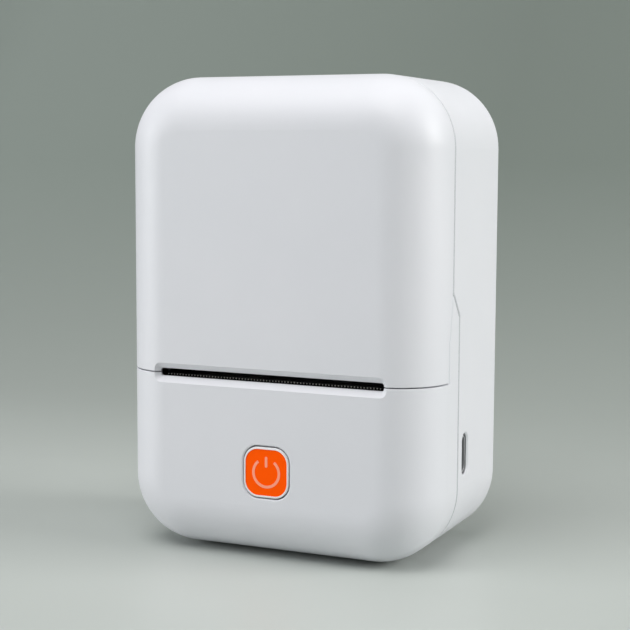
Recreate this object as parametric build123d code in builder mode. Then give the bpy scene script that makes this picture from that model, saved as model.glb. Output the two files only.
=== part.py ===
from build123d import *
from math import acos, atan2, cos, degrees, hypot, pi, radians, sin, sqrt, tan
import os

# A palm-sized label printer that stands upright. Millimetres, +Z up, the front
# with the label slot faces -Y. The origin is on the table, under the middle of
# the housing.

# Housing
body_width = 81.0
body_depth = 50.0
body_height = 114.0
corner_radius = 17.0  # of the outline seen from the front
front_roll = 13.0  # from the front face round to the sides
rear_round = 3.0
wall = 2.0
foot_height = 0.6

# Parting lines, as depths behind the front face and heights above the body's underside
lid_seam_depth = 15.2
low_seam_depth = 19.8
cheek_depth = 13.0
jog_top = 64.0
jog_bottom = 58.3
cheek_knee = 52.0
slot_height = 43.3
lid_gap = 0.3  # round the lid, which moves
seam_bevel = 0.35  # of the outer edges along the upright seams
slot_bevel = 0.12  # and along the level one
lid_relief_radius = 3.45  # inside the lid's upper edge, so that it swings clear
shell_gap = 0.2  # between the two fixed shells
lip_thickness = 1.0
lip_reach = 1.6
lip_clearance = 0.12

# Label slot and tear bar
slot_length = 58.0
slot_gap = 1.9
mouth_length = 60.6
mouth_height = 4.7
mouth_depth = 1.4
deck_thickness = 1.6
deck_drop = 0.35  # of the guide below the slot's lower edge
deck_reach = 5.5
deck_half = 29.4
tear_bar_length = 56.0
tear_bar_thickness = 0.3
tear_bar_ledge = 0.55  # height of the ledge that it lies on
tear_bar_width = 4.2
tear_tooth_pitch = 0.8
tear_tooth_depth = 0.5
tear_bar_setback = 2.6

# Power button
button_height = 21.3
button_hole_width = 12.25
button_hole_height = 12.7
button_hole_radius = 4.0
button_clearance = 0.35
button_hole_bevel = 0.25
button_rim_width = 0.38
button_rim_height = 0.48
button_rim_depth = 3.0
button_inlay_recess = 0.15
button_inlay_thickness = 0.8
icon_radius = 3.65
icon_stroke = 0.65
switch_body = 6.0
switch_thickness = 2.0
plunger_radius = 1.6

# Charging socket in the right side
port_height = 24.8
port_length = 10.0
port_width = 3.9
port_chamfer = 0.4
socket_length = 8.9
socket_width = 3.2
socket_depth = 7.4
socket_wall = 0.3
tongue_thickness = 0.7

# Lid hinge, a knuckle hinge flush with the top
hinge_radius = 2.2
hinge_setback = 2.7  # behind the lid's seam
hinge_pin_radius = 0.8
pin_clearance = 0.06
knuckle_clearance = 0.3
shell_knuckle_half = 9.7
lid_knuckle_width = 6.0
end_knuckle_width = 4.7

# Platen roller and print head
platen_depth = 10.5
platen_height = 50.3
platen_radius = 4.5
platen_length = 52.0
platen_shaft_radius = 1.5
bush_radius = 3.0
bush_overhang = 0.4
nip_angle = 20.0  # of the head's face, down towards the front
nip_gap = 0.25
head_length = 50.0
head_width = 10.0
head_ceramic = 0.8
head_sink_thickness = 3.0
head_nose = 2.6  # from the nip to the head's front edge
head_pivot_radius = 1.2
head_pivot_back = 13.5
head_spring_spacing = 32.0
leaf_width = 5.0
leaf_thickness = 0.25

# Mechanism frame
frame_half = 29.9  # inner face of each side plate
frame_plate = 1.0
frame_base_height = 37.2
frame_front_depth = 8.0
frame_rear_depth = 26.5
frame_top_height = 60.0
frame_low_height = 21.0  # of the left plate, which holds the motor
arm_thickness = 2.8
arm_gap = 0.8

# Gear train
gear_module = 0.5
pinion_teeth = 12
wheel_teeth = 38
idler_teeth = 16
platen_teeth = 24
gear_width = 1.4
gear_plane_gap = 0.25
gear_plate_gap = 0.5
tooth_backlash = 0.08
gear_addendum = 0.75
gear_dedendum = 1.0
pressure_angle = 20.0
motor_depth = 17.0
motor_height = 29.5
motor_radius = 7.5
motor_length = 14.0
motor_shaft_radius = 0.75
stud_radius = 1.5
running_clearance = 0.05

# Label bay
roll_center_height = 85.4
roll_width = 50.0
tray_wall = 1.2
tray_half = 31.5  # inner face of each end wall
tray_top = 107.2
tray_floor = 64.0
tray_corner = 7.0
guide_thickness = 2.0
guide_radius = 11.0
guide_hub_radius = 5.6
guide_hub_length = 4.0
guide_travel = 12.0
rack_module = 0.8
rack_teeth = 12
rack_height = 1.8
rack_back = 1.6
rack_pinion_depth = 32.0

# Electronics
board_thickness = 1.2
board_bottom = 14.6
board_top = 36.0
board_left = -34.0
board_right = 38.0
battery_length = 50.0
battery_height = 34.0
battery_thickness = 9.6
battery_bottom = 5.0

# Feet and screws
foot_radius = 3.0
foot_recess = 0.8
foot_spacing_x = 40.0
foot_spacing_y = 25.6
foot_center_depth = 29.2
screw_spacing = 60.0
screw_height = 10.0
screw_radius = 1.15
screw_head_radius = 2.6
screw_head_height = 1.8
screw_length = 10.0
screw_shelf = 4.0  # of rear shell under each head
boss_radius = 3.9

# Places worked out from the sizes above
front = -body_depth / 2
rear = body_depth / 2
bottom = foot_height
top = bottom + body_height
half_width = body_width / 2
lid_seam = front + lid_seam_depth
low_seam = front + low_seam_depth
cheek = front + cheek_depth
slot_z = bottom + slot_height
hinge_y = lid_seam + hinge_setback
hinge_z = top - hinge_radius
platen_y = front + platen_depth
platen_z = bottom + platen_height
reach = body_width  # cutters pass right through the housing


def at_y(y):
    """A sketch plane square to Y, with X to the right and Z up; it extrudes towards the front."""
    return Plane.XZ.offset(-y)


def body_form(inset):
    """The closed pillow shape of the housing, taken in by inset all round."""
    with BuildPart() as form:
        with BuildSketch(at_y(rear - inset)):
            with Locations((0, bottom + body_height / 2)):
                RectangleRounded(
                    body_width - 2 * inset, body_height - 2 * inset, corner_radius - inset
                )
        extrude(amount=body_depth - 2 * inset)
        fillet(form.faces().sort_by(Axis.Y)[0].edges(), front_roll - inset)
        fillet(form.faces().sort_by(Axis.Y)[-1].edges(), max(rear_round - inset, 0.5))
    return form.part


def side_zone(points, low=-reach, high=reach):
    """A prism across the housing, from its outline in the side view given as (y, z)."""
    with BuildPart() as zone:
        with BuildSketch(Plane.YZ.offset(low)):
            with BuildLine():
                Polyline(*points, close=True)
            make_face()
        extrude(amount=high - low)
    return zone.part


def shell_block(zone):
    """A solid piece of the housing cut out by zone, with its outer edges along the cuts bevelled."""
    with BuildPart() as made:
        add(outer_form)
        add(zone, mode=Mode.INTERSECT)
        cuts = [
            face
            for face in made.faces().filter_by(GeomType.PLANE)
            if abs(face.normal_at().X) < 0.01
            and front + 0.01 < face.center().Y < rear - 0.01
            and bottom + 0.01 < face.center().Z < top - 0.01
        ]
        for level, bevel in ((False, seam_bevel), (True, slot_bevel)):
            chosen = []
            for face in cuts:
                folds = [edge for other in cuts if other is not face for edge in other.edges()]
                if (abs(face.normal_at().Z) > 0.99 and face.center().Y < lid_seam) == level:
                    chosen += [e for e in face.edges() if not any(e.is_same(fold) for fold in folds)]
            live = [e for e in made.edges() if any(e.center() == c.center() for c in chosen)]
            if live:
                chamfer(live, bevel)
    return made.part


outer_form = body_form(0)
inner_form = body_form(wall)
lip_outer_form = body_form(wall + lip_clearance)
lip_inner_form = body_form(wall + lip_clearance + lip_thickness)
lip_root_form = body_form(wall / 2)

beyond = 5.0
rear_zone = side_zone([
    (lid_seam + lid_gap / 2, top + beyond),
    (lid_seam + lid_gap / 2, bottom + jog_top),
    (low_seam + shell_gap / 2, bottom + jog_bottom),
    (low_seam + shell_gap / 2, -beyond),
    (rear + beyond, -beyond),
    (rear + beyond, top + beyond),
])
lid_zone = side_zone([
    (front - beyond, slot_z + lid_gap / 2),
    (cheek - lid_gap / 2, slot_z + lid_gap / 2),
    (cheek - lid_gap / 2, bottom + cheek_knee),
    (lid_seam - lid_gap / 2, bottom + jog_top),
    (lid_seam - lid_gap / 2, top + beyond),
    (front - beyond, top + beyond),
])
front_zone = side_zone([
    (front - beyond, slot_z - lid_gap / 2),
    (cheek + lid_gap / 2, slot_z - lid_gap / 2),
    (cheek + lid_gap / 2, bottom + cheek_knee),
    (lid_seam + shell_gap / 2, bottom + jog_top - shell_gap),
    (low_seam - shell_gap / 2, bottom + jog_bottom - shell_gap),
    (low_seam - shell_gap / 2, -beyond),
    (front - beyond, -beyond),
])

# The slot's flared mouth, cut from the lid's lower edge and the front shell's upper edge
with BuildPart() as slot_cutter:
    with BuildSketch(at_y(front)):
        with Locations((0, slot_z)):
            RectangleRounded(mouth_length, mouth_height, mouth_height * 0.35)
    with BuildSketch(at_y(front + mouth_depth)):
        with Locations((0, slot_z)):
            RectangleRounded(slot_length, slot_gap, slot_gap * 0.35)
    loft(ruled=True)
    with BuildSketch(at_y(front + mouth_depth)):
        with Locations((0, slot_z)):
            RectangleRounded(slot_length, slot_gap, slot_gap * 0.35)
    extrude(amount=-deck_reach)


def x_cylinder(y, z, radius, low, high):
    """A round bar along X."""
    with BuildPart() as bar:
        with BuildSketch(Plane.YZ.offset(low)):
            with Locations((y, z)):
                Circle(radius)
        extrude(amount=high - low)
    return bar.part


def block(x, y, z):
    """A box from its (low, high) pairs."""
    with BuildPart() as made:
        with BuildSketch(Plane.XY.offset(z[0])):
            with Locations(((x[0] + x[1]) / 2, (y[0] + y[1]) / 2)):
                Rectangle(x[1] - x[0], y[1] - y[0])
        extrude(amount=z[1] - z[0])
    return made.part


lid_knuckle_low = shell_knuckle_half + knuckle_clearance
lid_knuckle_high = lid_knuckle_low + lid_knuckle_width
end_knuckle_low = lid_knuckle_high + knuckle_clearance
end_knuckle_high = end_knuckle_low + end_knuckle_width


def knuckle(low, high, y_from, radius):
    """One hinge barrel with the flush arm that carries it; y_from is on the side of its own shell."""
    with BuildPart() as barrel:
        with BuildSketch(Plane.YZ.offset(low)):
            with Locations((hinge_y, hinge_z)):
                Circle(radius)
            with BuildLine():
                Polyline(
                    (hinge_y, hinge_z - radius),
                    (y_from, hinge_z - radius),
                    (y_from, hinge_z + radius),
                    (hinge_y, hinge_z + radius),
                    close=True,
                )
            make_face()
        extrude(amount=high - low)
    return barrel.part


def knuckle_pocket(low, high, y_from, y_to):
    """The room in the other shell in which a barrel turns and its arm swings up."""
    room = hinge_radius + knuckle_clearance
    with BuildPart() as pocket:
        add(x_cylinder(hinge_y, hinge_z, room, low - knuckle_clearance, high + knuckle_clearance))
        add(
            block(
                (low - knuckle_clearance, high + knuckle_clearance),
                (y_from, y_to),
                (hinge_z, top + beyond),
            )
        )
    return pocket.part


lid_knuckles = [(lid_knuckle_low, lid_knuckle_high), (-lid_knuckle_high, -lid_knuckle_low)]
shell_knuckles = [
    (-shell_knuckle_half, shell_knuckle_half),
    (end_knuckle_low, end_knuckle_high),
    (-end_knuckle_high, -end_knuckle_low),
]
pin_hole = x_cylinder(
    hinge_y, hinge_z, hinge_pin_radius + pin_clearance, -end_knuckle_high, end_knuckle_high
)
foot_places = [
    (sx * foot_spacing_x / 2, front + foot_center_depth + sy * foot_spacing_y / 2)
    for sx in (-1, 1)
    for sy in (-1, 1)
]
screw_places = [(-screw_spacing / 2, bottom + screw_height), (screw_spacing / 2, bottom + screw_height)]
boss_meet = low_seam + 4.0
chassis_post_x = 12.0
post_size = 6.0
board_y = socket_width / 2 + board_thickness  # the board's back face
board_posts = [(-31.0, bottom + board_top - 4.0), (31.0, bottom + board_top - 4.0)]
button_board_y = front + 7.8
button_posts = [(-10.5, bottom + button_height), (10.5, bottom + button_height)]

# Rear shell
with BuildPart() as rear_shell:
    add(shell_block(rear_zone))
    add(inner_form, mode=Mode.SUBTRACT)
    # Hinge barrels on the top wall
    for low, high in shell_knuckles:
        add(knuckle(low, high, hinge_y + hinge_radius + wall, hinge_radius))
    for low, high in lid_knuckles:
        add(
            knuckle_pocket(low, high, lid_seam - beyond, hinge_y + hinge_radius + knuckle_clearance),
            mode=Mode.SUBTRACT,
        )
    add(pin_hole, mode=Mode.SUBTRACT)
    # Opening for the charging socket, with a softened mouth
    with BuildSketch(Plane.YZ.offset(half_width)):
        with Locations((0, bottom + port_height)):
            SlotOverall(port_length, port_width, rotation=90)
    extrude(amount=-2 * wall, mode=Mode.SUBTRACT)
    port_edges = (
        rear_shell.edges()
        .filter_by_position(Axis.X, half_width - 0.01, half_width + 0.01)
        .filter_by_position(Axis.Z, bottom + port_height - port_length, bottom + port_height + port_length)
        .filter_by_position(Axis.Y, -port_width, port_width)
    )
    chamfer(port_edges, port_chamfer)
    # Screw columns with a recess for each head in the back
    with BuildSketch(at_y(rear - wall / 2)):
        with Locations(*screw_places):
            Circle(boss_radius)
    extrude(amount=rear - wall / 2 - boss_meet)
    with BuildSketch(at_y(rear)):
        with Locations(*screw_places):
            Circle(screw_head_radius + 0.3)
    extrude(amount=rear - boss_meet - screw_shelf, mode=Mode.SUBTRACT)
    with BuildSketch(at_y(rear)):
        with Locations(*screw_places):
            Circle(screw_radius + 0.35)
    extrude(amount=rear - boss_meet + 1.0, mode=Mode.SUBTRACT)
    # Posts for the main board
    with BuildSketch(at_y(rear - wall / 2)):
        with Locations(*board_posts):
            Circle(post_size / 2)
    extrude(amount=rear - wall / 2 - board_y)
    # Seats for the feet
    with BuildSketch(Plane.XY.offset(bottom)):
        with Locations(*foot_places):
            Circle(foot_radius + 0.1)
    extrude(amount=foot_recess, mode=Mode.SUBTRACT)

# Front shell: the lower front with a cheek rising at each side of the lid
lip_y = low_seam - 2 * lip_reach
lip_zone = block((-reach, reach), (lip_y, low_seam + lip_reach), (-beyond, bottom + jog_bottom - 6))
root_zone = block((-reach, reach), (lip_y, low_seam - shell_gap / 2), (-beyond, bottom + jog_bottom - 6))
with BuildPart() as shell_lip:
    add(lip_outer_form)
    add(lip_inner_form, mode=Mode.SUBTRACT)
    add(lip_zone, mode=Mode.INTERSECT)
with BuildPart() as shell_lip_root:
    add(lip_root_form)
    add(lip_inner_form, mode=Mode.SUBTRACT)
    add(root_zone, mode=Mode.INTERSECT)

deck_top = slot_z - slot_gap / 2
with BuildPart() as front_shell:
    add(shell_block(front_zone))
    add(inner_form, mode=Mode.SUBTRACT)
    add(shell_lip_root.part)
    add(shell_lip.part)
    add(slot_cutter.part, mode=Mode.SUBTRACT)
    # Button opening and its guide sleeve
    with BuildSketch(at_y(front + wall + 1.5)):
        with Locations((0, bottom + button_height)):
            RectangleRounded(
                button_hole_width + 2.4, button_hole_height + 2.4, button_hole_radius + 1.2
            )
    extrude(amount=1.5 + wall / 2)
    with BuildSketch(at_y(front + 2 * wall)):
        with Locations((0, bottom + button_height)):
            RectangleRounded(button_hole_width, button_hole_height, button_hole_radius)
    extrude(amount=3 * wall, mode=Mode.SUBTRACT)
    hole_edges = (
        front_shell.edges()
        .filter_by_position(Axis.Y, front - 0.01, front + 0.01)
        .filter_by_position(Axis.X, -button_hole_width, button_hole_width)
        .filter_by_position(
            Axis.Z, bottom + button_height - button_hole_height, bottom + button_height + button_hole_height
        )
    )
    chamfer(hole_edges, button_hole_bevel)
    # Columns that the two screws pull on
    with BuildSketch(at_y(boss_meet - 0.1)):
        with Locations(*screw_places):
            Circle(boss_radius)
    extrude(amount=boss_meet - 0.1 - front - wall / 2)
    with BuildSketch(at_y(boss_meet)):
        with Locations(*screw_places):
            Circle(screw_radius + 0.01)
    extrude(amount=screw_length - screw_shelf + 0.5, mode=Mode.SUBTRACT)
    # Posts under the mechanism frame
    for side in (-1, 1):
        add(
            block(
                (side * chassis_post_x - post_size / 2, side * chassis_post_x + post_size / 2),
                (front + wall / 2, front + frame_front_depth + post_size),
                (bottom + frame_base_height - post_size, bottom + frame_base_height),
            )
        )
    # Posts for the button's board
    with BuildSketch(at_y(button_board_y)):
        with Locations(*button_posts):
            Circle(post_size / 4)
    extrude(amount=button_board_y - front - wall / 2)
    add(outer_form, mode=Mode.INTERSECT)
    # Seats for the feet that reach under this shell
    with BuildSketch(Plane.XY.offset(bottom)):
        with Locations(*foot_places):
            Circle(foot_radius + 0.1)
    extrude(amount=foot_recess, mode=Mode.SUBTRACT)


# Lid: the upper front cover
with BuildPart() as lid_shell:
    add(shell_block(lid_zone))
    add(inner_form, mode=Mode.SUBTRACT)
    add(x_cylinder(hinge_y, hinge_z, lid_relief_radius, -reach, reach), mode=Mode.SUBTRACT)
    for low, high in lid_knuckles:
        add(knuckle(low, high, lid_seam - 1.4, hinge_radius))
    add(slot_cutter.part, mode=Mode.SUBTRACT)
    add(
        x_cylinder(
            hinge_y, hinge_z, hinge_pin_radius + pin_clearance, -end_knuckle_high, end_knuckle_high
        ),
        mode=Mode.SUBTRACT,
    )

# Hinge pin
with BuildPart() as hinge_pin:
    add(x_cylinder(hinge_y, hinge_z, hinge_pin_radius, 0.2 - end_knuckle_high, end_knuckle_high - 0.2))

# Lid carrier: the frame inside the lid that holds the platen
arm_outer = frame_half - arm_gap
arm_inner = arm_outer - arm_thickness
carrier_top = bottom + 62.0
with BuildPart() as lid_carrier:
    for low in (-arm_outer, arm_inner):
        with BuildSketch(Plane.YZ.offset(low)):
            with BuildLine():
                Polyline(
                    (front + wall, platen_z),
                    (front + wall, carrier_top),
                    (platen_y + 4.2, carrier_top),
                    (platen_y + 4.2, platen_z),
                    close=True,
                )
            make_face()
            with Locations((platen_y, platen_z)):
                Circle(4.2)
            with Locations((platen_y, platen_z)):
                Circle(bush_radius + 0.01, mode=Mode.SUBTRACT)
        extrude(amount=arm_thickness)
    # Cross wall against the lid, with a stiffening shelf
    add(block((-arm_outer, arm_outer), (front + wall, front + wall + 1.6), (carrier_top - 6.0, carrier_top)))
    add(block((-arm_outer, arm_outer), (front + wall, platen_y + 4.2), (carrier_top - 1.6, carrier_top)))
    # Ribs down the cross wall
    for x in (-15.0, 0.0, 15.0):
        add(block((x - 0.7, x + 0.7), (front + wall, platen_y), (carrier_top - 5.0, carrier_top)))
    # Pockets for the two magnets
    magnet_x = (arm_inner + arm_outer) / 2
    with BuildSketch(at_y(platen_y + 4.2)):
        with Locations((magnet_x, carrier_top - 4.2), (-magnet_x, carrier_top - 4.2)):
            Circle(1.11)
    extrude(amount=3.0, mode=Mode.SUBTRACT)
    add(inner_form, mode=Mode.INTERSECT)

with BuildPart() as lid_magnets:
    with BuildSketch(at_y(platen_y + 4.2)):
        with Locations((magnet_x, carrier_top - 4.2), (-magnet_x, carrier_top - 4.2)):
            Circle(1.1)
    extrude(amount=3.0)

# Mechanism frame of folded steel
frame_floor = bottom + frame_base_height
frame_front = front + frame_front_depth
frame_rear = front + frame_rear_depth
frame_top = bottom + frame_top_height
tab_y = platen_y + 4.4
idler_reach = gear_module * (idler_teeth + platen_teeth) / 2
motor_reach = gear_module * (pinion_teeth + wheel_teeth) / 2
motor_y = front + motor_depth
motor_z = bottom + motor_height
span = hypot(motor_y - platen_y, motor_z - platen_z)
swing_angle = acos((idler_reach**2 + span**2 - motor_reach**2) / (2 * idler_reach * span))
idler_direction = atan2(motor_z - platen_z, motor_y - platen_y) + swing_angle
idler_y = platen_y + idler_reach * cos(idler_direction)
idler_z = platen_z + idler_reach * sin(idler_direction)

# The print head is laid out along its own slanted plane: s back along it, d down from it
nip = radians(nip_angle)
nip_y = platen_y + (platen_radius + nip_gap) * sin(nip)
nip_z = platen_z - (platen_radius + nip_gap) * cos(nip)


def head_point(s, d):
    return (nip_y + s * cos(nip) + d * sin(nip), nip_z + s * sin(nip) - d * cos(nip))


head_pivot = head_point(head_pivot_back - 2.0, 5.0)

notch = bush_radius + 0.1
with BuildPart() as mechanism_frame:
    for side, low_z in ((-1, bottom + frame_low_height), (1, frame_floor)):
        with BuildSketch(Plane.YZ.offset(frame_half if side > 0 else -frame_half - frame_plate)):
            with BuildLine():
                Polyline(
                    (frame_front, low_z),
                    (frame_front, platen_z),
                    (tab_y - 1.4, frame_top),
                    (frame_rear - 4.0, frame_top),
                    (frame_rear, frame_top - 6.0),
                    (frame_rear, low_z),
                    close=True,
                )
            make_face()
            fillet(vertices(), 1.0)
            # Seat for the platen's bush, open to the front
            with BuildLine():
                Polyline(
                    (platen_y, platen_z - notch),
                    (frame_front - 2.0, platen_z - notch - 0.3),
                    (frame_front - 2.0, platen_z + notch + 1.6),
                    (platen_y, platen_z + notch),
                    close=True,
                )
            make_face(mode=Mode.SUBTRACT)
            with Locations((platen_y, platen_z)):
                Circle(notch, mode=Mode.SUBTRACT)
            with Locations(head_pivot):
                Circle(head_pivot_radius + 0.01, mode=Mode.SUBTRACT)
            if side < 0:
                with Locations((motor_y, motor_z)):
                    Circle(motor_shaft_radius + 1.5, mode=Mode.SUBTRACT)
                with Locations((idler_y, idler_z)):
                    Circle(stud_radius - 0.5, mode=Mode.SUBTRACT)
        extrude(amount=frame_plate)
        # Tab that the lid's magnet pulls on
        add(
            block(
                (arm_inner, frame_half + 0.1) if side > 0 else (-frame_half - 0.1, -arm_inner),
                (tab_y, tab_y + frame_plate),
                (carrier_top - 7.0, frame_top - 1.0),
            )
        )
    add(
        block(
            (-frame_half - 0.1, frame_half + 0.1),
            (frame_front, frame_rear),
            (frame_floor, frame_floor + frame_plate),
        )
    )
    # Window for the head's ribbon, and holes for the two screws
    with BuildSketch(Plane.XY.offset(frame_floor)):
        with Locations((0, frame_rear - 5.5)):
            RectangleRounded(23.0, 5.0, 1.0)
        with Locations((chassis_post_x, frame_front + 3.0), (-chassis_post_x, frame_front + 3.0)):
            Circle(1.1)
    extrude(amount=frame_plate, mode=Mode.SUBTRACT)

# Black guide behind the slot: the label slides over it, and its ledge carries the tear bar
tear_y = front + tear_bar_setback
ledge_z = deck_top - deck_drop + tear_bar_ledge
with BuildPart() as exit_guide:
    with BuildSketch(Plane.YZ.offset(-deck_half)):
        with BuildLine():
            Polyline(
                (front + wall, deck_top - deck_drop - deck_thickness),
                (front + wall + deck_reach, deck_top - deck_drop - deck_thickness),
                (front + wall + deck_reach, ledge_z),
                (tear_y + 0.9, ledge_z),
                (tear_y + 0.9, deck_top - deck_drop),
                (front + wall, deck_top - deck_drop),
                close=True,
            )
        make_face()
    extrude(amount=2 * deck_half)
    # Ribs under it
    for x in (-22.0, -11.0, 0.0, 11.0, 22.0):
        add(block((x - 0.6, x + 0.6), (front + wall, front + wall + deck_reach - 1.0),
                  (deck_top - deck_drop - deck_thickness - 1.6, deck_top - deck_drop - deck_thickness)))
    add(inner_form, mode=Mode.INTERSECT)

# Tear bar with its saw edge to the front
with BuildPart() as tear_bar:
    tear_count = int(tear_bar_length / tear_tooth_pitch)
    with BuildSketch(Plane.XY.offset(ledge_z)):
        with Locations((0, tear_y + tear_tooth_depth + (tear_bar_width - tear_tooth_depth) / 2)):
            Rectangle(tear_count * tear_tooth_pitch, tear_bar_width - tear_tooth_depth)
        with BuildLine():
            saw = []
            for i in range(tear_count):
                x = (i - tear_count / 2) * tear_tooth_pitch
                saw += [(x, tear_y + tear_tooth_depth + 0.1), (x + tear_tooth_pitch / 2, tear_y)]
            end_x = tear_count / 2 * tear_tooth_pitch
            saw += [(end_x, tear_y + tear_tooth_depth + 0.1), (end_x, tear_y + 1.0), (-end_x, tear_y + 1.0)]
            Polyline(*saw, close=True)
        make_face()
    extrude(amount=tear_bar_thickness)

# Platen
shaft_left = -(frame_half + frame_plate + gear_plate_gap + gear_width)
shaft_right = frame_half + frame_plate + bush_overhang + 0.6
with BuildPart() as platen_shaft:
    add(x_cylinder(platen_y, platen_z, platen_shaft_radius, shaft_left, shaft_right))
with BuildPart() as platen_rubber:
    with BuildSketch(Plane.YZ.offset(-platen_length / 2)):
        with Locations((platen_y, platen_z)):
            Circle(platen_radius)
            Circle(platen_shaft_radius, mode=Mode.SUBTRACT)
    extrude(amount=platen_length)
    chamfer(platen_rubber.edges().filter_by(GeomType.CIRCLE).sort_by(SortBy.RADIUS)[-2:], 0.3)
bush_end = frame_half + frame_plate + bush_overhang
with BuildPart() as platen_bushes:
    for low in (-bush_end, arm_inner):
        with BuildSketch(Plane.YZ.offset(low)):
            with Locations((platen_y, platen_z)):
                Circle(bush_radius)
                Circle(platen_shaft_radius + running_clearance, mode=Mode.SUBTRACT)
        extrude(amount=bush_end - arm_inner)


def gear_points(teeth, y, z, phase):
    """The corners of a spur gear's toothed outline, with a tooth at angle phase."""
    pitch_radius = gear_module * teeth / 2
    tip = pitch_radius + gear_addendum * gear_module
    root = pitch_radius - gear_dedendum * gear_module
    half = (pi * gear_module / 2 - tooth_backlash) / 2
    slope = tan(radians(pressure_angle))
    half_tip = (half - (tip - pitch_radius) * slope) / tip
    half_root = (half + (pitch_radius - root) * slope) / root
    points = []
    for i in range(teeth):
        a = phase + 2 * pi * i / teeth
        for radius, turn in (
            (root, -half_root), (pitch_radius, -half / pitch_radius), (tip, -half_tip),
            (tip, half_tip), (pitch_radius, half / pitch_radius), (root, half_root),
        ):
            points.append((y + radius * cos(a + turn), z + radius * sin(a + turn)))
    return points


plane_1 = shaft_left
plane_2 = plane_1 - gear_plane_gap - gear_width
motor_direction = atan2(motor_z - idler_z, motor_y - idler_y)
with BuildPart() as platen_gear:
    with BuildSketch(Plane.YZ.offset(plane_1)):
        with BuildLine():
            Polyline(*gear_points(platen_teeth, platen_y, platen_z, idler_direction), close=True)
        make_face()
        with Locations((platen_y, platen_z)):
            Circle(platen_shaft_radius, mode=Mode.SUBTRACT)
    extrude(amount=gear_width)
with BuildPart() as idler_gear:
    with BuildSketch(Plane.YZ.offset(plane_1)):
        with BuildLine():
            Polyline(
                *gear_points(idler_teeth, idler_y, idler_z, idler_direction + pi - pi / idler_teeth),
                close=True,
            )
        make_face()
    extrude(amount=gear_width)
    with BuildSketch(Plane.YZ.offset(plane_2)):
        with BuildLine():
            Polyline(*gear_points(wheel_teeth, idler_y, idler_z, motor_direction), close=True)
        make_face()
    extrude(amount=gear_width)
    add(x_cylinder(idler_y, idler_z, 3.0, plane_2 + gear_width, plane_1))
    with BuildSketch(Plane.YZ.offset(plane_2)):
        with Locations((idler_y, idler_z)):
            with PolarLocations(6.3, 5):
                Circle(1.6)
        with Locations((idler_y, idler_z)):
            Circle(stud_radius + running_clearance)
    extrude(amount=gear_width, mode=Mode.SUBTRACT)
    add(x_cylinder(idler_y, idler_z, stud_radius + running_clearance, plane_2, plane_1 + gear_width),
        mode=Mode.SUBTRACT)
with BuildPart() as idler_stud:
    add(x_cylinder(idler_y, idler_z, stud_radius, plane_2 - 0.4, -frame_half - frame_plate))
    add(x_cylinder(idler_y, idler_z, stud_radius - 0.5, -frame_half - frame_plate, -frame_half))
    add(x_cylinder(idler_y, idler_z, stud_radius + 0.8, plane_2 - 1.0, plane_2 - 0.3))
with BuildPart() as motor_body:
    add(x_cylinder(motor_y, motor_z, motor_radius, -frame_half, motor_length - frame_half))
    fillet(motor_body.edges().filter_by(GeomType.CIRCLE), 0.6)
    add(x_cylinder(motor_y, motor_z, motor_shaft_radius + 1.2, -frame_half - frame_plate, -frame_half))
    add(
        x_cylinder(motor_y, motor_z, motor_shaft_radius + running_clearance, -frame_half - frame_plate,
                   4.0 - frame_half),
        mode=Mode.SUBTRACT,
    )
with BuildPart() as motor_shaft:
    add(x_cylinder(motor_y, motor_z, motor_shaft_radius, plane_2, 3.5 - frame_half))
with BuildPart() as motor_pinion:
    with BuildSketch(Plane.YZ.offset(plane_2)):
        with BuildLine():
            Polyline(
                *gear_points(pinion_teeth, motor_y, motor_z, motor_direction + pi - pi / pinion_teeth),
                close=True,
            )
        make_face()
        with Locations((motor_y, motor_z)):
            Circle(motor_shaft_radius, mode=Mode.SUBTRACT)
    extrude(amount=gear_width)

# Print head: a ceramic strip on a sprung aluminium plate
head_rear = head_width - head_nose
with BuildPart() as head_sink:
    with BuildSketch(Plane.YZ.offset(-head_length / 2)):
        with BuildLine():
            Polyline(
                head_point(-head_nose + 0.6, head_ceramic),
                head_point(head_rear, head_ceramic),
                head_point(head_rear, head_ceramic + head_sink_thickness),
                head_point(-head_nose + 0.6, head_ceramic + head_sink_thickness),
                close=True,
            )
        make_face()
    extrude(amount=head_length)
    for low in (-head_length / 2, head_length / 2 - 2.0):
        with BuildSketch(Plane.YZ.offset(low)):
            with BuildLine():
                Polyline(
                    head_point(head_rear - 4.0, head_ceramic + 0.4),
                    head_point(head_rear + 4.0, head_ceramic + 2.2),
                    head_pivot,
                    head_point(head_rear - 4.0, head_ceramic + head_sink_thickness),
                    close=True,
                )
            make_face()
            with Locations(head_pivot):
                Circle(head_pivot_radius + 1.4)
                Circle(head_pivot_radius + pin_clearance, mode=Mode.SUBTRACT)
        extrude(amount=2.0)
with BuildPart() as head_strip:
    with BuildSketch(Plane.YZ.offset(-head_length / 2)):
        with BuildLine():
            Polyline(
                head_point(-head_nose, 0), head_point(head_rear, 0),
                head_point(head_rear, head_ceramic), head_point(-head_nose, head_ceramic), close=True,
            )
        make_face()
    extrude(amount=head_length)
with BuildPart() as head_pivot_pin:
    add(x_cylinder(*head_pivot, head_pivot_radius, -frame_half - frame_plate, frame_half + frame_plate))
spring_y, spring_top = head_point(1.0, head_ceramic + head_sink_thickness)
leaf_rise = spring_top - frame_floor - frame_plate - 0.02
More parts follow.
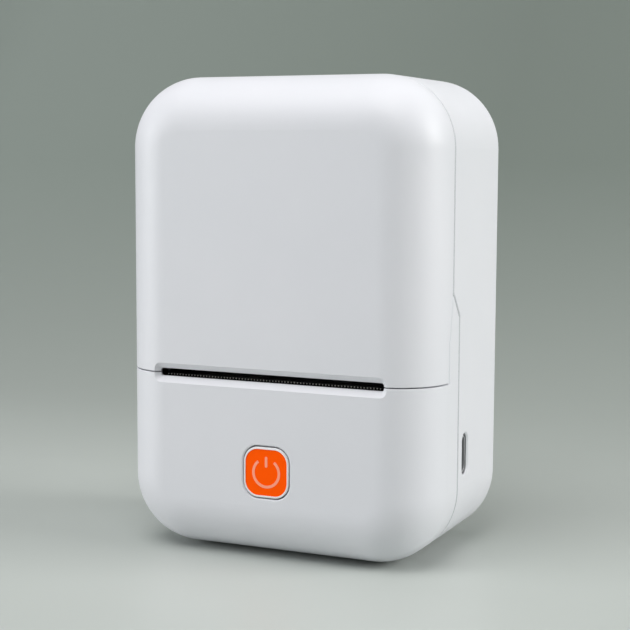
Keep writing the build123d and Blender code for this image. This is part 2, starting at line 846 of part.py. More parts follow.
with BuildPart() as head_springs:
    for x in (-head_spring_spacing / 2, head_spring_spacing / 2):
        with BuildSketch(Plane.YZ.offset(x - leaf_width / 2)):
            with BuildLine() as leaf_line:
                Polyline(
                    (spring_y + 7.0, frame_floor + frame_plate),
                    (spring_y + 3.0, frame_floor + frame_plate),
                    (spring_y, frame_floor + frame_plate + leaf_rise - leaf_thickness),
                    (spring_y - 1.6, frame_floor + frame_plate + leaf_rise - 2.0),
                    (spring_y - 1.6, frame_floor + frame_plate + leaf_rise - 2.0 + leaf_thickness),
                    (spring_y, frame_floor + frame_plate + leaf_rise),
                    (spring_y + 3.2, frame_floor + frame_plate + leaf_thickness),
                    (spring_y + 7.0, frame_floor + frame_plate + leaf_thickness),
                    close=True,
                )
            make_face()
        extrude(amount=leaf_width)
with BuildPart() as head_ribbon:
    ribbon_y, ribbon_z = head_point(head_rear - 1.0, head_ceramic + head_sink_thickness)
    with BuildSketch(Plane.YZ.offset(-10.0)):
        with BuildLine():
            Polyline(
                (ribbon_y, ribbon_z), (ribbon_y, frame_floor - 3.0), (board_y - board_thickness - 1.5, 32.5),
                (board_y - board_thickness - 1.5, 31.0), (board_y - board_thickness - 1.7, 31.0),
                (board_y - board_thickness - 1.7, 32.4), (ribbon_y - 0.2, frame_floor - 3.1),
                (ribbon_y - 0.2, ribbon_z - 0.2 * tan(nip)), close=True,
            )
        make_face()
    extrude(amount=20.0)

# Sensors
with BuildPart() as paper_sensor:
    add(block((4.0, 8.0), (frame_front + 0.5, frame_front + 3.3),
              (frame_floor + frame_plate, frame_floor + frame_plate + 3.0)))
with BuildPart() as lid_switch:
    add(block((frame_half + frame_plate, frame_half + frame_plate + 2.8), (-8.0, -1.0), (52.0, 57.0)))
    add(block((frame_half + frame_plate + 0.8, frame_half + frame_plate + 2.0), (-9.2, -8.0), (54.0, 55.5)))

# Label bay
tray_low = bottom + tray_floor
tray_high = bottom + tray_top
tray_front = platen_y + 6.0
tray_rear = rear - wall
rack_y = front + rack_pinion_depth
rack_pinion_radius = rack_module * rack_teeth / 2
guide_x = roll_width / 2
roll_y = front + 25.4
roll_z = bottom + roll_center_height
stem_y = rack_pinion_radius + rack_module + rack_back / 2
with BuildPart() as media_tray:
    with BuildSketch(Plane.YZ.offset(-tray_half - tray_wall)):
        with BuildLine():
            Polyline((tray_front, tray_low), (tray_rear, tray_low), (tray_rear, tray_high),
                     (tray_front, tray_high), close=True)
        make_face()
        fillet(vertices().group_by(Axis.X)[-1], tray_corner)
    extrude(amount=2 * (tray_half + tray_wall))
    with BuildSketch(Plane.YZ.offset(-tray_half)):
        with BuildLine():
            Polyline((tray_front - 1.0, tray_low + tray_wall), (tray_rear - tray_wall, tray_low + tray_wall),
                     (tray_rear - tray_wall, tray_high - tray_wall),
                     (tray_front - 1.0, tray_high - tray_wall),
                     close=True)
        make_face()
        fillet(vertices().group_by(Axis.X)[-1], tray_corner - tray_wall)
    extrude(amount=2 * tray_half, mode=Mode.SUBTRACT)
    # End walls scooped away round the roll, so fingers can reach it
    with BuildSketch(Plane.YZ.offset(-tray_half - 2 * tray_wall)):
        with Locations((tray_front, roll_z)):
            Circle(12.0)
    extrude(amount=2 * tray_half + 4 * tray_wall, mode=Mode.SUBTRACT)
    # Slots that the guides' stems run in, and the bore of the small pinion's peg
    with BuildSketch(Plane.XY.offset(tray_low - 1.0)):
        for side, y in ((-1, rack_y + stem_y), (1, rack_y - stem_y)):
            with Locations((side * (guide_x + guide_thickness / 2 - guide_travel / 2), y)):
                Rectangle(guide_thickness + guide_travel + 1.2, 4.6)
    extrude(amount=tray_wall + 2.0, mode=Mode.SUBTRACT)


def guide(side):
    """One roll guide with its hub, stem and rack; side is -1 on the left and 1 on the right."""
    near = side * guide_x
    away = side * (guide_x + guide_thickness)
    low = min(near, away)
    with BuildPart() as made:
        with BuildSketch(Plane.YZ.offset(low)):
            with Locations((roll_y, roll_z)):
                Circle(guide_radius)
            y = rack_y - side * stem_y
            with BuildLine():
                Polyline(
                    (y - 2.0, tray_low - 0.3), (y + 2.0, tray_low - 0.3),
                    (y + 2.0, tray_low + tray_wall + 0.3), (y + 3.2, tray_low + tray_wall + 0.3),
                    (roll_y + 8.0, roll_z), (roll_y - 8.0, roll_z),
                    (y - 3.2, tray_low + tray_wall + 0.3), (y - 2.0, tray_low + tray_wall + 0.3),
                    close=True,
                )
            make_face()
            with Locations((roll_y, roll_z)):
                Circle(3.0, mode=Mode.SUBTRACT)
        extrude(amount=guide_thickness)
        with BuildSketch(Plane.YZ.offset(near if side < 0 else near - guide_hub_length)):
            with Locations((roll_y, roll_z)):
                Circle(guide_hub_radius)
                Circle(3.0, mode=Mode.SUBTRACT)
        extrude(amount=guide_hub_length)
    return made


def rack(side):
    """The toothed bar under the bay's floor that one guide's stem is fixed to."""
    away = side * (guide_x + guide_thickness)
    with BuildPart() as made:
        with BuildSketch(Plane.XY.offset(tray_low - 0.3 - rack_height)):
            pitch = pi * rack_module
            pitch_y = rack_y - side * rack_pinion_radius
            with BuildLine():
                inner_x = -side * (guide_travel / 2 - 2.0)
                back_y = pitch_y - side * (rack_module + rack_back)
                root_y = pitch_y - side * rack_module
                tip_y = pitch_y + side * 0.75 * rack_module
                Polyline((away, back_y), (away, root_y), (inner_x, root_y), (inner_x, back_y), close=True)
            make_face()
            half = (pitch / 2 - 0.12) / 2
            slope = tan(radians(pressure_angle))
            for i in range(0, 6):
                x = side * pitch * i
                with BuildLine():
                    Polyline(
                        (x - half - rack_module * slope, root_y - side * 0.05),
                        (x - half + 0.75 * rack_module * slope, tip_y),
                        (x + half - 0.75 * rack_module * slope, tip_y),
                        (x + half + rack_module * slope, root_y - side * 0.05),
                        close=True,
                    )
                make_face()
        extrude(amount=rack_height)
    return made


guide_left = guide(-1)
guide_right = guide(1)
rack_left = rack(-1)
rack_right = rack(1)
with BuildPart() as guide_pinion:
    with BuildSketch(Plane.XY.offset(tray_low - 0.3 - rack_height)):
        pitch_radius = rack_pinion_radius
        half = (pi * rack_module / 2 - 0.12) / 2
        slope = tan(radians(pressure_angle))
        tip = pitch_radius + 0.7 * rack_module
        root = pitch_radius - rack_module
        points = []
        for i in range(rack_teeth):
            a = pi / 2 + pi / rack_teeth + 2 * pi * i / rack_teeth
            for radius, turn in (
                (root, -(half + 0.2) / root), (pitch_radius, -half / pitch_radius),
                (tip, -(half - 0.22) / tip), (tip, (half - 0.22) / tip),
                (pitch_radius, half / pitch_radius), (root, (half + 0.2) / root),
            ):
                points.append((radius * cos(a + turn), rack_y + radius * sin(a + turn)))
        with BuildLine():
            Polyline(*points, close=True)
        make_face()
        with Locations((0, rack_y)):
            Circle(1.3 + running_clearance, mode=Mode.SUBTRACT)
    extrude(amount=rack_height)
with BuildPart() as pinion_peg:
    with BuildSketch(Plane.XY.offset(tray_low)):
        with Locations((0, rack_y)):
            Circle(1.3)
    extrude(amount=-rack_height - 0.6)
    with BuildSketch(Plane.XY.offset(tray_low - rack_height - 0.6)):
        with Locations((0, rack_y)):
            Circle(2.4)
    extrude(amount=-0.7)

# Boards, battery and socket
board_front = socket_width / 2
socket_x = half_width - 0.6
with BuildPart() as main_board:
    with BuildSketch(at_y(board_y)):
        with Locations(((board_left + board_right) / 2, bottom + (board_bottom + board_top) / 2)):
            RectangleRounded(board_right - board_left, board_top - board_bottom, 1.5)
        with Locations(*board_posts):
            Circle(1.1, mode=Mode.SUBTRACT)
    extrude(amount=board_thickness)
with BuildPart() as board_parts:
    for x, z, w, h, t in (
        (-24.0, 20.0, 9.0, 9.0, 1.0), (4.0, 22.0, 10.0, 10.0, 1.2), (18.0, 21.0, 5.0, 7.0, 1.0),
        (24.0, 29.0, 4.0, 4.0, 2.2), (-10.0, 20.0, 5.0, 4.0, 0.9), (0.0, 32.0, 21.0, 3.2, 1.4),
    ):
        add(block((x - w / 2, x + w / 2), (board_front - t, board_front), (z - h / 2, z + h / 2)))
with BuildPart() as usb_socket:
    with BuildSketch(Plane.YZ.offset(socket_x)):
        with Locations((0, bottom + port_height)):
            SlotOverall(socket_length, socket_width, rotation=90)
    extrude(amount=-socket_depth)
    with BuildSketch(Plane.YZ.offset(socket_x)):
        with Locations((0, bottom + port_height)):
            SlotOverall(socket_length - 2 * socket_wall, socket_width - 2 * socket_wall, rotation=90)
    extrude(amount=socket_wall - socket_depth, mode=Mode.SUBTRACT)
with BuildPart() as usb_tongue:
    add(block((socket_x - socket_depth + socket_wall, socket_x - 0.8),
              (-tongue_thickness / 2, tongue_thickness / 2),
              (bottom + port_height - 3.35, bottom + port_height + 3.35)))
with BuildPart() as battery_pack:
    with BuildSketch(at_y(rear - wall)):
        with Locations((0, bottom + battery_bottom + battery_height / 2)):
            RectangleRounded(battery_length, battery_height, 1.5)
    extrude(amount=battery_thickness)
    fillet(battery_pack.faces().sort_by(Axis.Y)[0].edges(), 1.2)

# Power button
button_z = bottom + button_height
cap_w = button_hole_width - 2 * button_clearance
cap_h = button_hole_height - 2 * button_clearance
cap_r = button_hole_radius - button_clearance
inlay_w = cap_w - 2 * button_rim_width
inlay_h = cap_h - 2 * button_rim_height
inlay_r = cap_r - button_rim_width
inlay_front = front + button_inlay_recess
with BuildPart() as button_cap:
    with BuildSketch(at_y(front + button_rim_depth)):
        with Locations((0, button_z)):
            RectangleRounded(cap_w, cap_h, cap_r)
    extrude(amount=button_rim_depth)
    with BuildSketch(at_y(inlay_front + button_inlay_thickness)):
        with Locations((0, button_z)):
            RectangleRounded(inlay_w, inlay_h, inlay_r)
    extrude(amount=button_inlay_thickness + 1.0, mode=Mode.SUBTRACT)
    chamfer(button_cap.faces().sort_by(Axis.Y)[0].outer_wire().edges(), 0.15)
    # Behind the wall: the waist, the flange that keeps it in, and the stem
    with BuildSketch(at_y(front + wall + 1.6)):
        with Locations((0, button_z)):
            RectangleRounded(cap_w, cap_h, cap_r)
    extrude(amount=wall + 1.6 - button_rim_depth + 0.1)
    with BuildSketch(at_y(front + wall + 2.4)):
        with Locations((0, button_z)):
            RectangleRounded(cap_w + 2.2, cap_h + 2.2, cap_r)
    extrude(amount=0.8)
with BuildPart() as button_inlay:
    with BuildSketch(at_y(inlay_front + button_inlay_thickness)):
        with Locations((0, button_z)):
            RectangleRounded(inlay_w, inlay_h, inlay_r)
    extrude(amount=button_inlay_thickness)
icon_z = button_z - 0.1
open_angle = 38
with BuildPart() as button_icon:
    with BuildSketch(at_y(inlay_front)):
        with Locations((0, icon_z)):
            Circle(icon_radius)
            Circle(icon_radius - icon_stroke, mode=Mode.SUBTRACT)
        with BuildLine():
            Polyline((0, icon_z), (-4.0 * tan(radians(open_angle)), icon_z + 4.0),
                     (4.0 * tan(radians(open_angle)), icon_z + 4.0), close=True)
        make_face(mode=Mode.SUBTRACT)
        with Locations((0, button_z + 2.5)):
            SlotOverall(2.6, icon_stroke, rotation=90)
    extrude(amount=0.05)
with BuildPart() as button_switch:
    with BuildSketch(at_y(button_board_y)):
        with Locations((0, button_z)):
            Rectangle(switch_body, switch_body)
    extrude(amount=switch_thickness)
    with BuildSketch(at_y(button_board_y - switch_thickness)):
        with Locations((0, button_z)):
            Circle(plunger_radius)
    extrude(amount=0.5)
with BuildPart() as button_board:
    with BuildSketch(at_y(button_board_y + board_thickness)):
        with Locations((0, button_z)):
            RectangleRounded(26.0, 12.0, 1.0)
    extrude(amount=board_thickness)

# Feet and screws
with BuildPart() as rubber_feet:
    with BuildSketch(Plane.XY):
        with Locations(*foot_places):
            Circle(foot_radius)
    extrude(amount=foot_height + foot_recess)
with BuildPart() as housing_screws:
    with BuildSketch(at_y(boss_meet + screw_shelf)):
        with Locations(*screw_places):
            Circle(screw_radius)
    extrude(amount=screw_length)
    with BuildSketch(at_y(boss_meet + screw_shelf + screw_head_height)):
        with Locations(*screw_places):
            Circle(screw_head_radius)
    extrude(amount=screw_head_height)
    with BuildSketch(at_y(boss_meet + screw_shelf + screw_head_height)):
        with Locations(*screw_places):
            Rectangle(2.6, 0.6)
            Rectangle(0.6, 2.6)
    extrude(amount=0.9, mode=Mode.SUBTRACT)

nodes = {
    "rear_shell": rear_shell, "front_shell": front_shell, "lid_shell": lid_shell,
    "lid_carrier": lid_carrier, "lid_magnets": lid_magnets, "hinge_pin": hinge_pin,
    "platen_shaft": platen_shaft, "platen_rubber": platen_rubber, "platen_bushes": platen_bushes,
    "platen_gear": platen_gear, "idler_gear": idler_gear, "idler_stud": idler_stud,
    "motor_body": motor_body, "motor_shaft": motor_shaft, "motor_pinion": motor_pinion,
    "mechanism_frame": mechanism_frame, "tear_bar": tear_bar, "exit_guide": exit_guide,
    "head_sink": head_sink,
    "head_strip": head_strip, "head_pivot_pin": head_pivot_pin, "head_springs": head_springs,
    "head_ribbon": head_ribbon, "paper_sensor": paper_sensor, "lid_switch": lid_switch,
    "media_tray": media_tray, "guide_left": guide_left, "guide_right": guide_right,
    "rack_left": rack_left, "rack_right": rack_right,
    "guide_pinion": guide_pinion, "pinion_peg": pinion_peg, "main_board": main_board,
    "board_parts": board_parts, "usb_socket": usb_socket, "usb_tongue": usb_tongue,
    "battery_pack": battery_pack, "button_cap": button_cap, "button_inlay": button_inlay,
    "button_icon": button_icon, "button_switch": button_switch, "button_board": button_board,
    "rubber_feet": rubber_feet, "housing_screws": housing_screws,
}
os.makedirs("parts", exist_ok=True)
for name, node in nodes.items():
    node.part.label = name
    export_step(node.part, f"parts/{name}.step")
    print(name, len(node.part.solids()), round(node.part.volume, 1))
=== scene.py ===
import math

import bpy
import numpy as np
from mathutils import Matrix, Vector


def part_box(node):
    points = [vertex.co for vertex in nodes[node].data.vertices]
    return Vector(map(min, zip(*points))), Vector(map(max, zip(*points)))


# An upright label printer on a pale table. Metres, in the part's own frame: the front faces -Y,
# the charging socket is in the +X side and the feet stand on z = 0.

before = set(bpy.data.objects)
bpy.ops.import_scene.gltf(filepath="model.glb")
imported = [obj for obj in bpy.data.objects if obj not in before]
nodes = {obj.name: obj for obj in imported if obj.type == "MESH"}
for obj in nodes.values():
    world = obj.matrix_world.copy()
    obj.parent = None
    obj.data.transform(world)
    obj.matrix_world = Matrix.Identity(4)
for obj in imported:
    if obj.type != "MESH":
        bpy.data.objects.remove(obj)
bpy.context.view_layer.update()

MM = 0.001


# Camera, at the photograph's three-quarter view

PHOTO_PIXELS = 630.0
SENSOR_WIDTH = 36.0


def aim_camera(place, yaw, pitch, roll, focal_pixels):
    """Looks along (-sin yaw cos pitch, cos yaw cos pitch, -sin pitch), rolled about that line."""
    level = math.cos(pitch)
    forward = Vector((-math.sin(yaw) * level, math.cos(yaw) * level, -math.sin(pitch)))
    right = Vector((math.cos(yaw), math.sin(yaw), 0.0))
    up = right.cross(forward)
    turned_right = math.cos(roll) * right + math.sin(roll) * up
    turned_up = -math.sin(roll) * right + math.cos(roll) * up
    data = bpy.data.cameras.new("camera")
    data.sensor_width = SENSOR_WIDTH
    data.lens = focal_pixels / PHOTO_PIXELS * SENSOR_WIDTH
    data.clip_start, data.clip_end = 0.01, 20.0
    camera = bpy.data.objects.new("camera", data)
    bpy.context.scene.collection.objects.link(camera)
    turn = Matrix((turned_right, turned_up, -forward)).transposed().to_4x4()
    camera.matrix_world = Matrix.Translation(Vector(place)) @ turn
    bpy.context.scene.camera = camera


aim_camera((0.15084, -0.33132, 0.09557), yaw=0.4243, pitch=0.1063, roll=0.0044, focal_pixels=1481.1)


# Materials. A noise scale of s gives features of about 1/s metres.

DRIFT_SCALE = 22.0  # slow change of tone over a moulding
SCUFF_SCALE = 140.0  # handling marks
RIPPLE_SCALE = 55.0  # sink marks in a moulded wall
RIPPLE_HEIGHT = 0.05 * MM
GRAIN_SCALE = 3800.0  # spark-eroded surface of the mould
SEAM_SHADE_REACH = 1.0 * MM  # widest gap that gets painted shade
TARNISH_SCALE = 120.0
BRUSH_SCALE = 90.0
BRUSH_HEIGHT = 0.02 * MM
TIP_BRIGHT = 0.12 * MM  # near-white band painted at the tip of a saw tooth, as a highlight
TIP_END = 0.3 * MM  # where the painted highlight ends
HEATER_SETBACK = 2.42 * MM  # from the ceramic strip's front edge to its heating line
HEATER_WIDTH = 0.4 * MM
HEATER_BLUR = 0.05 * MM
LEAD_PITCH = 0.5 * MM


class Maker:
    """A node material being put together around one Principled shader."""

    def __init__(self, name):
        self.material = bpy.data.materials.new(name)
        self.material.use_nodes = True
        self.tree = self.material.node_tree
        self.tree.nodes.clear()
        output = self.tree.nodes.new("ShaderNodeOutputMaterial")
        self.shader = self.tree.nodes.new("ShaderNodeBsdfPrincipled")
        self.join(self.shader.outputs["BSDF"], output.inputs["Surface"])
        self.place = self.tree.nodes.new("ShaderNodeTexCoord").outputs["Object"]

    def join(self, a, b):
        self.tree.links.new(a, b)

    def noise(self, scale, detail=4.0, roughness=0.55, stretch=None):
        """Fractal noise from 0 to 1, drawn out along the axes with the smallest stretch."""
        node = self.tree.nodes.new("ShaderNodeTexNoise")
        node.inputs["Scale"].default_value = scale
        node.inputs["Detail"].default_value = detail
        node.inputs["Roughness"].default_value = roughness
        place = self.place
        if stretch:
            mapping = self.tree.nodes.new("ShaderNodeMapping")
            mapping.inputs["Scale"].default_value = stretch
            self.join(place, mapping.inputs["Vector"])
            place = mapping.outputs["Vector"]
        self.join(place, node.inputs["Vector"])
        return node.outputs["Fac"]

    def stripes(self, pitch):
        """Bands across X, from 0 to 1 and back over each pitch."""
        node = self.tree.nodes.new("ShaderNodeTexWave")
        node.inputs["Scale"].default_value = math.pi / 10.0 / pitch
        self.join(self.place, node.inputs["Vector"])
        return node.outputs["Fac"]

    def axis(self, letter):
        """The place on the part along X, Y or Z, in metres."""
        node = self.tree.nodes.new("ShaderNodeSeparateXYZ")
        self.join(self.place, node.inputs["Vector"])
        return node.outputs[letter]

    def occlusion_shade(self, reach):
        """Ambient occlusion for painting shade: 1 on open surfaces, falling to 0 where walls closer
        than reach face the surface.
        """
        node = self.tree.nodes.new("ShaderNodeAmbientOcclusion")
        node.samples = 6
        node.inputs["Distance"].default_value = reach
        return node.outputs["AO"]

    def spread(self, value, low=0.0, high=1.0, start=0.3, end=0.7):
        """Takes start..end to low..high, and holds the value beyond them."""
        node = self.tree.nodes.new("ShaderNodeMapRange")
        limits = {"From Min": start, "From Max": end, "To Min": low, "To Max": high}
        for socket, number in limits.items():
            node.inputs[socket].default_value = number
        self.join(value, node.inputs["Value"])
        return node.outputs["Result"]

    def mix(self, factor, a, b):
        """Colour a where factor is 0 and b where it is 1; each is a tuple or a socket."""
        node = self.tree.nodes.new("ShaderNodeMix")
        node.data_type = "RGBA"
        self.join(factor, node.inputs["Factor"])
        for socket, colour in ((node.inputs["A"], a), (node.inputs["B"], b)):
            if isinstance(colour, tuple):
                socket.default_value = (*colour, 1.0)
            else:
                self.join(colour, socket)
        return node.outputs["Result"]

    def colour(self, socket):
        self.join(socket, self.shader.inputs["Base Color"])

    def roughness(self, socket):
        self.join(socket, self.shader.inputs["Roughness"])

    def bump(self, heights, edge=0.0):
        """Stacks (height, distance, strength) into one normal, over edges rounded by edge metres."""
        normal = None
        if edge:
            bevel = self.tree.nodes.new("ShaderNodeBevel")
            bevel.samples = 6
            bevel.inputs["Radius"].default_value = edge
            normal = bevel.outputs["Normal"]
        for height, distance, strength in heights:
            node = self.tree.nodes.new("ShaderNodeBump")
            node.inputs["Distance"].default_value = distance
            node.inputs["Strength"].default_value = strength
            self.join(height, node.inputs["Height"])
            if normal is not None:
                self.join(normal, node.inputs["Normal"])
            normal = node.outputs["Normal"]
        self.join(normal, self.shader.inputs["Normal"])

    def set(self, **sockets):
        for name, value in sockets.items():
            self.shader.inputs[name.replace("_", " ")].default_value = value
        return self


def linear(red, green, blue):
    """Screen colour 0..255 to the linear values that shaders take."""
    def one(c):
        c /= 255.0
        return c / 12.92 if c <= 0.04045 else ((c + 0.055) / 1.055) ** 2.4
    return (one(red), one(green), one(blue))


def moulded(name, light, dark, roughness, edge=0.25 * MM, grain=0.012 * MM, specular=0.5, seam_shade=None):
    """Injection-moulded plastic: a faint drift of tone, the mould's fine grain, handling scuffs,
    and shade of the given colour painted into narrow seams."""
    m = Maker(name)
    tone = m.mix(m.spread(m.noise(DRIFT_SCALE, detail=3.0)), light, dark)
    if seam_shade:
        # Painted shade: narrow seams darken towards the given colour, by ambient occlusion
        tone = m.mix(m.spread(m.occlusion_shade(SEAM_SHADE_REACH), start=0.35, end=0.95), seam_shade, tone)
    m.colour(tone)
    m.roughness(m.spread(m.noise(SCUFF_SCALE, 6.0, 0.65), roughness - 0.03, roughness + 0.07))
    m.bump([
        (m.noise(GRAIN_SCALE, detail=2.0), grain, 0.35),
        (m.noise(RIPPLE_SCALE, detail=2.0), RIPPLE_HEIGHT, 0.12),
    ], edge)
    return m.set(Specular_IOR_Level=specular)


def metal(name, light, dark, roughness=0.3, edge=0.1 * MM, metallic=1.0):
    """Rolled or turned metal: brushed along X, with clouded tarnish."""
    m = Maker(name)
    m.colour(m.mix(m.spread(m.noise(TARNISH_SCALE, detail=5.0)), light, dark))
    brushed = m.noise(BRUSH_SCALE, 5.0, 0.6, stretch=(1.0, 40.0, 40.0))
    m.roughness(m.spread(brushed, roughness - 0.07, roughness + 0.1))
    m.bump([(brushed, BRUSH_HEIGHT, 0.25)], edge)
    return m.set(Metallic=metallic)


def saw_steel(name, bright, dark, edge_y):
    """Blackened steel strip with a near-white highlight painted along the tips of its saw edge at
    edge_y.
    """
    m = Maker(name)
    # Painted highlight: the saw tips are coloured near white, with a little random variation
    tip_highlight = m.spread(m.axis("Y"), 1.0, 0.0, edge_y + TIP_BRIGHT, edge_y + TIP_END)
    highlight_tone = m.mix(m.spread(m.noise(900.0)), bright, tuple(0.7 * c for c in bright))
    m.colour(m.mix(tip_highlight, dark, highlight_tone))
    m.roughness(m.spread(m.noise(400.0), 0.4, 0.6))
    return m.set(Metallic=0.3)


def heater_ceramic(name, glaze, leads, line, line_y):
    """Glazed ceramic strip: a dark heating line at line_y, with fine printed leads behind it."""
    m = Maker(name)
    y = m.axis("Y")
    line_front, line_back = line_y - HEATER_WIDTH / 2, line_y + HEATER_WIDTH / 2
    past_front = m.spread(y, start=line_front - HEATER_BLUR, end=line_front)
    past_back = m.spread(y, start=line_back, end=line_back + HEATER_BLUR)
    printed = m.mix(m.spread(m.stripes(LEAD_PITCH)), leads, glaze)
    m.colour(m.mix(past_front, glaze, m.mix(past_back, line, printed)))
    m.roughness(m.spread(m.noise(260.0, detail=5.0), 0.12, 0.24))
    m.bump([(m.noise(600.0), 0.01 * MM, 0.2)], edge=0.05 * MM)
    return m


# Housing
shell = {
    "light": linear(235, 235, 240), "dark": linear(231, 232, 237),
    "roughness": 0.44, "edge": 0.08 * MM,
}
shell_white = moulded("shell_white", **shell)
# The rear shell's seams get dark grey painted shade
rear_white = moulded("rear_white", seam_shade=linear(60, 62, 68), **shell)
inner_white = moulded("inner_white", linear(214, 215, 217), linear(205, 206, 209), roughness=0.5)
foot_rubber = moulded(
    "foot_rubber", linear(70, 70, 72), linear(58, 58, 60), roughness=0.75, edge=0.2 * MM,
)

# Button: the orange and its pale mark are given a little emission, painted light that makes them
# brighter than the lamps alone would
cap_white = moulded(
    "cap_white", linear(252, 251, 252), linear(249, 248, 250), roughness=0.35, edge=0.1 * MM,
)
button_orange = moulded(
    "button_orange", linear(255, 88, 0), linear(252, 84, 0),
    roughness=0.55, edge=0.2 * MM, grain=0.008 * MM, specular=0.04,
)
button_orange.set(Emission_Color=(1.0, 0.09, 0.0, 1.0), Emission_Strength=0.2)
icon_orange = moulded(
    "icon_orange", linear(255, 164, 132), linear(253, 158, 126),
    roughness=0.5, edge=0.0, grain=0.0, specular=0.2,
)
# Painted light: a little emission on the pale mark
icon_orange.set(Emission_Color=(1.0, 0.35, 0.22, 1.0), Emission_Strength=0.14)

# Inner mouldings and films
black_plastic = moulded(
    "black_plastic", linear(26, 26, 28), linear(20, 20, 22), roughness=0.5, edge=0.15 * MM,
)
# Black plastic made darker than the other black mouldings, as painted shade that keeps the paper
# slot dark; used on the lid carrier and exit guide
deep_black = moulded(
    "deep_black", linear(9, 9, 10), linear(6, 6, 7),
    roughness=0.5, edge=0.1 * MM, specular=0.25,
)
grey_plastic = moulded(
    "grey_plastic", linear(92, 94, 97), linear(84, 86, 89), roughness=0.5, edge=0.2 * MM,
)
acetal = moulded(
    "acetal", linear(228, 222, 205), linear(218, 212, 194), roughness=0.42, edge=0.08 * MM,
)
platen_black = moulded(
    "platen_black", linear(34, 33, 33), linear(27, 26, 26),
    roughness=0.7, edge=0.1 * MM, grain=0.02 * MM,
)
battery_film = moulded(
    "battery_film", linear(60, 96, 140), linear(52, 86, 128), roughness=0.3, edge=0.3 * MM,
)
solder_mask = moulded(
    "solder_mask", linear(14, 82, 50), linear(10, 72, 44), roughness=0.25, edge=0.05 * MM,
)
chip_black = moulded(
    "chip_black", linear(32, 32, 34), linear(26, 26, 27), roughness=0.55, edge=0.05 * MM,
)
polyimide = moulded(
    "polyimide", linear(206, 140, 50), linear(196, 130, 44), roughness=0.25, edge=0.0,
)

# Metals
steel = metal("steel", linear(196, 197, 198), linear(180, 181, 183))
nickel = metal("nickel", linear(205, 205, 203), linear(188, 188, 187), roughness=0.26)
aluminium = metal("aluminium", linear(212, 213, 216), linear(200, 201, 204), roughness=0.35)
brass = metal("brass", linear(214, 180, 104), linear(198, 164, 92), roughness=0.28)
socket_shell = metal(
    "socket_shell", linear(205, 206, 208), linear(190, 191, 194),
    roughness=0.5, edge=0.0, metallic=0.5,
)

# Tear bar and print head, whose lines run along X at places taken from their own front edges
saw_edge_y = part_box("tear_bar")[0][1]
heater_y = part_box("head_strip")[0][1] + HEATER_SETBACK
tooth_steel = saw_steel("tooth_steel", linear(250, 248, 240), linear(16, 16, 17), saw_edge_y)
ceramic = heater_ceramic(
    "ceramic", linear(214, 207, 192), linear(176, 138, 92), linear(48, 34, 28), heater_y,
)

finishes = {
    "rear_shell": rear_white, "front_shell": shell_white, "lid_shell": shell_white,
    "lid_carrier": deep_black, "exit_guide": deep_black, "lid_magnets": nickel,
    "hinge_pin": steel, "platen_shaft": steel, "platen_rubber": platen_black,
    "platen_bushes": black_plastic, "platen_gear": acetal, "idler_gear": acetal,
    "idler_stud": steel, "motor_body": steel, "motor_shaft": steel, "motor_pinion": brass,
    "mechanism_frame": steel, "tear_bar": tooth_steel, "head_sink": aluminium,
    "head_strip": ceramic, "head_pivot_pin": steel, "head_springs": steel,
    "head_ribbon": polyimide, "paper_sensor": black_plastic, "lid_switch": black_plastic,
    "media_tray": inner_white, "guide_left": grey_plastic, "guide_right": grey_plastic,
    "rack_left": grey_plastic, "rack_right": grey_plastic, "guide_pinion": acetal,
    "pinion_peg": steel, "main_board": solder_mask, "board_parts": chip_black,
    "usb_socket": socket_shell, "usb_tongue": black_plastic, "battery_pack": battery_film,
    "button_cap": cap_white, "button_inlay": button_orange, "button_icon": icon_orange,
    "button_switch": black_plastic, "button_board": solder_mask, "rubber_feet": foot_rubber,
    "housing_screws": steel,
}
for name, node in nodes.items():
    node.data.materials.clear()
    node.data.materials.append(finishes[name].material)


# The table and the wall behind it, in one bent sheet

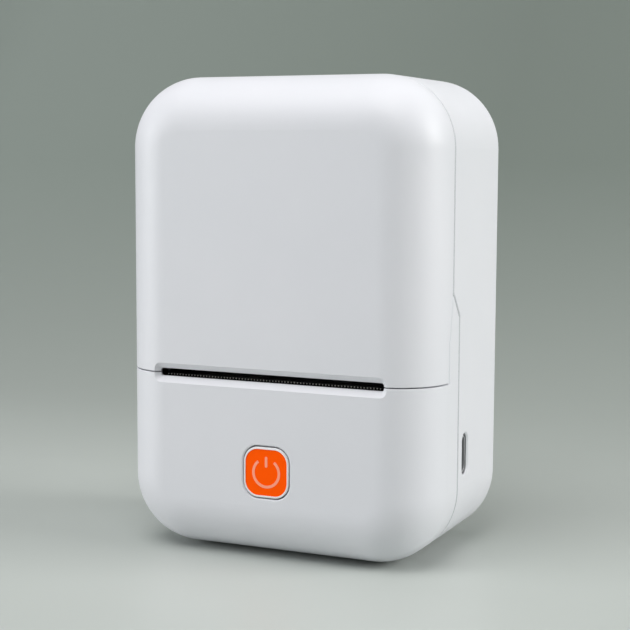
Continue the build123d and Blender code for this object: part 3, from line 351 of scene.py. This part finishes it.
def floor_sheet(name, near, far, half_width, bend, height):
    """A sheet that runs level from y = near to y = far, then up a quarter circle of radius bend,
    then straight up to height."""
    level = np.linspace(near, far, 9)
    turn = np.linspace(0, math.pi / 2, 41)[1:]
    y = np.concatenate([level, far + bend * np.sin(turn), [far + bend]])
    z = np.concatenate([0 * level, bend * (1 - np.cos(turn)), [height]])
    x = np.linspace(-half_width, half_width, 5)
    grid = np.broadcast_arrays(x[:, None], y[None, :], z[None, :])
    points = np.stack(grid, -1).reshape(-1, 3)
    rows, columns = len(x), len(y)
    corner = (np.arange(rows - 1)[:, None] * columns + np.arange(columns - 1)[None, :]).ravel()
    faces = np.stack([corner, corner + columns, corner + columns + 1, corner + 1], -1)
    mesh = bpy.data.meshes.new(name)
    mesh.from_pydata(points.tolist(), [], faces.tolist())
    mesh.polygons.foreach_set("use_smooth", np.ones(len(faces), bool))
    sheet = bpy.data.objects.new(name, mesh)
    bpy.context.scene.collection.objects.link(sheet)
    return sheet


def table_paint():
    """Pale satin paint with painted shade: darker up the wall, and darker still towards +X."""
    m = Maker("table_paint")
    # Painted shade across the wall, then from the floor up into the wall
    along = m.spread(m.axis("X"), start=-0.45, end=-0.1)
    wall = m.mix(along, linear(168, 178, 171), linear(139, 148, 141))
    back = m.spread(m.axis("Y"), start=0.05, end=0.45)
    m.colour(m.mix(back, linear(193, 198, 194), wall))
    m.roughness(m.spread(m.noise(9.0), 0.38, 0.46))
    return m.set(Specular_IOR_Level=0.35)


table_top = floor_sheet("table_top", near=-1.2, far=0.16, half_width=2.5, bend=0.5, height=1.6)
table_top.data.materials.append(table_paint().material)


# Soft studio lamps, all turned to the printer's middle: name, place, width, height, watts, colour

MIDDLE = Vector((0.0, 0.0, 0.057))
SOFT_BOXES = [
    ("top_box", (-0.02, -0.36, 0.66), 0.6, 0.4, 3.1, (1.0, 1.0, 1.0)),
    ("over_box", (0.0, 0.0, 0.75), 0.6, 0.4, 1.3, (1.0, 1.0, 1.0)),
    ("left_box", (-0.88, -0.48, 0.18), 0.5, 0.5, 4.8, (0.98, 0.99, 1.0)),
    ("right_box", (0.85, 0.12, 0.38), 0.45, 0.45, 5.4, (1.0, 0.995, 0.98)),
]
for name, place, width, height, watts, colour in SOFT_BOXES:
    data = bpy.data.lights.new(name, "AREA")
    data.shape = "RECTANGLE"
    data.size, data.size_y = width, height
    data.energy = watts
    data.color = colour
    lamp = bpy.data.objects.new(name, data)
    lamp.location = place
    lamp.rotation_euler = (MIDDLE - Vector(place)).to_track_quat("-Z", "Y").to_euler()
    bpy.context.scene.collection.objects.link(lamp)

world = bpy.data.worlds.new("studio")
world.use_nodes = True
background = world.node_tree.nodes["Background"]
background.inputs["Color"].default_value = (0.88, 0.94, 1.0, 1.0)
background.inputs["Strength"].default_value = 0.05
bpy.context.scene.world = world
bpy.context.scene.view_settings.view_transform = "Standard"
